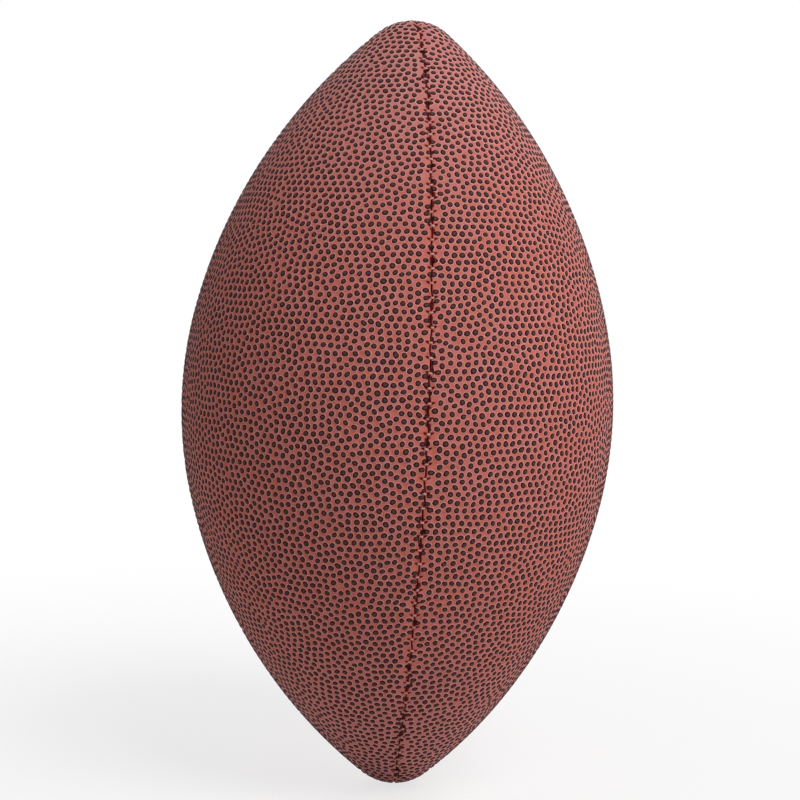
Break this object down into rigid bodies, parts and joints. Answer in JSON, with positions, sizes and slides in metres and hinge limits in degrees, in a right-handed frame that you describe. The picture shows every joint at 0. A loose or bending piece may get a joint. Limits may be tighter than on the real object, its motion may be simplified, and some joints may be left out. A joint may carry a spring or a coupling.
{
  "type": "american football",
  "caption": "Laced leather ball with pointed ends: sewn pebbled panels with a cloth lining, round a blown bladder with an air valve.",
  "frame": {"origin": "the middle of the ball, on its long axis, halfway between the two tips", "axes": "+Z runs along the ball's long axis to the upper tip, +Y points out through the laced seam, -Y through the closed front seam, and +X and -X through the two side seams"},
  "size_m": [0.158, 0.1606, 0.2798],
  "materials": {
    "leather": "pebbled, semi-matt, dark worn pebble tops over a brick-red base",
    "lining_cloth": "coated woven cloth",
    "seam_thread": "waxed thread",
    "facing_cloth": "stiff woven strip",
    "lace_cord": "flat woven lace",
    "tongue_felt": "felted strip",
    "bladder_film": "soft elastic film",
    "valve_rubber": "moulded",
    "plug_rubber": "moulded"
  },
  "bodies": {
    "root": {"panel_front_left": "leather", "panel_front_right": "leather", "panel_back_left": "leather", "panel_back_right": "leather", "lining_front_left": "lining_cloth", "lining_front_right": "lining_cloth", "lining_back_left": "lining_cloth", "lining_back_right": "lining_cloth", "seam_thread_front": "seam_thread", "seam_thread_left": "seam_thread", "seam_thread_right": "seam_thread", "seam_thread_back_upper": "seam_thread", "seam_thread_back_lower": "seam_thread", "lace_facing_left": "facing_cloth", "lace_facing_right": "facing_cloth", "lace": "lace_cord", "lace_tongue": "tongue_felt", "bladder": "bladder_film", "valve_flange_patch": "bladder_film", "valve_body": "valve_rubber", "valve_plug": "plug_rubber"}
  },
  "joints": []
}
